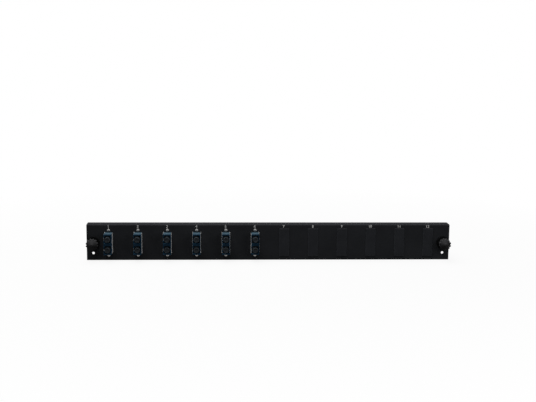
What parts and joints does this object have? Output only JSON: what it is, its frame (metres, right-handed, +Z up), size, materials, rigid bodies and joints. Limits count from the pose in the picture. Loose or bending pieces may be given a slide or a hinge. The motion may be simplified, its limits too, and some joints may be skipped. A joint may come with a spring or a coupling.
{
  "type": "fibre patch panel",
  "caption": "Long, low folded steel front of a rack fibre patch panel: a row of capped duplex adapters and snap-in blanking plates, with a push-pull plunger at each end.",
  "frame": {"origin": "rear face of the front sheet, at mid-width and mid-height: the middle of the line between the two plungers", "axes": "+X along the panel to the right as seen from the front, +Y to the rear into the rack, +Z up"},
  "size_m": [0.44, 0.0365, 0.0436],
  "materials": {
    "panel_paint": "fine-textured black powder coat",
    "adapter_blue": "semi-gloss moulded plastic",
    "cap_black": "satin moulded plastic",
    "insert_plastic": "plain moulded plastic",
    "sleeve_ceramic": "ground white zirconia",
    "screw_steel": "bright zinc plate on the screws and nuts, plain spring steel on the clips",
    "blank_black": "satin moulded plastic",
    "fastener_black": "satin moulded nylon"
  },
  "bodies": {
    "panel": {"front_panel": "panel_paint", "adapter_front_1": "adapter_blue", "adapter_rear_1": "adapter_blue", "front_cap_1_upper": "cap_black", "rear_cap_1_upper": "cap_black", "front_cap_1_lower": "cap_black", "rear_cap_1_lower": "cap_black", "adapter_front_2": "adapter_blue", "adapter_rear_2": "adapter_blue", "front_cap_2_upper": "cap_black", "rear_cap_2_upper": "cap_black", "front_cap_2_lower": "cap_black", "rear_cap_2_lower": "cap_black", "adapter_front_3": "adapter_blue", "adapter_rear_3": "adapter_blue", "front_cap_3_upper": "cap_black", "rear_cap_3_upper": "cap_black", "front_cap_3_lower": "cap_black", "rear_cap_3_lower": "cap_black", "adapter_front_4": "adapter_blue", "adapter_rear_4": "adapter_blue", "front_cap_4_upper": "cap_black", "rear_cap_4_upper": "cap_black", "front_cap_4_lower": "cap_black", "rear_cap_4_lower": "cap_black", "adapter_front_5": "adapter_blue", "adapter_rear_5": "adapter_blue", "front_cap_5_upper": "cap_black", "rear_cap_5_upper": "cap_black", "front_cap_5_lower": "cap_black", "rear_cap_5_lower": "cap_black", "adapter_front_6": "adapter_blue", "adapter_rear_6": "adapter_blue", "front_cap_6_upper": "cap_black", "rear_cap_6_upper": "cap_black", "front_cap_6_lower": "cap_black", "rear_cap_6_lower": "cap_black", "adapter_clips": "screw_steel", "latch_inserts": "insert_plastic", "alignment_sleeves": "sleeve_ceramic", "adapter_screws": "screw_steel", "adapter_nuts": "screw_steel", "blanking_plate_7": "blank_black", "blanking_plate_8": "blank_black", "blanking_plate_9": "blank_black", "blanking_plate_10": "blank_black", "blanking_plate_11": "blank_black", "blanking_plate_12": "blank_black", "grommet_left": "fastener_black", "grommet_right": "fastener_black"},
    "left_plunger": {"plunger_left": "fastener_black"},
    "right_plunger": {"plunger_right": "fastener_black"}
  },
  "joints": [
    {"name": "left_plunger_pull", "type": "slide", "parent": "panel", "child": "left_plunger", "axis": [0, -1, 0], "range_m": [0, 0.0065]},
    {"name": "right_plunger_pull", "type": "slide", "parent": "panel", "child": "right_plunger", "axis": [0, -1, 0], "range_m": [0, 0.0065]}
  ]
}
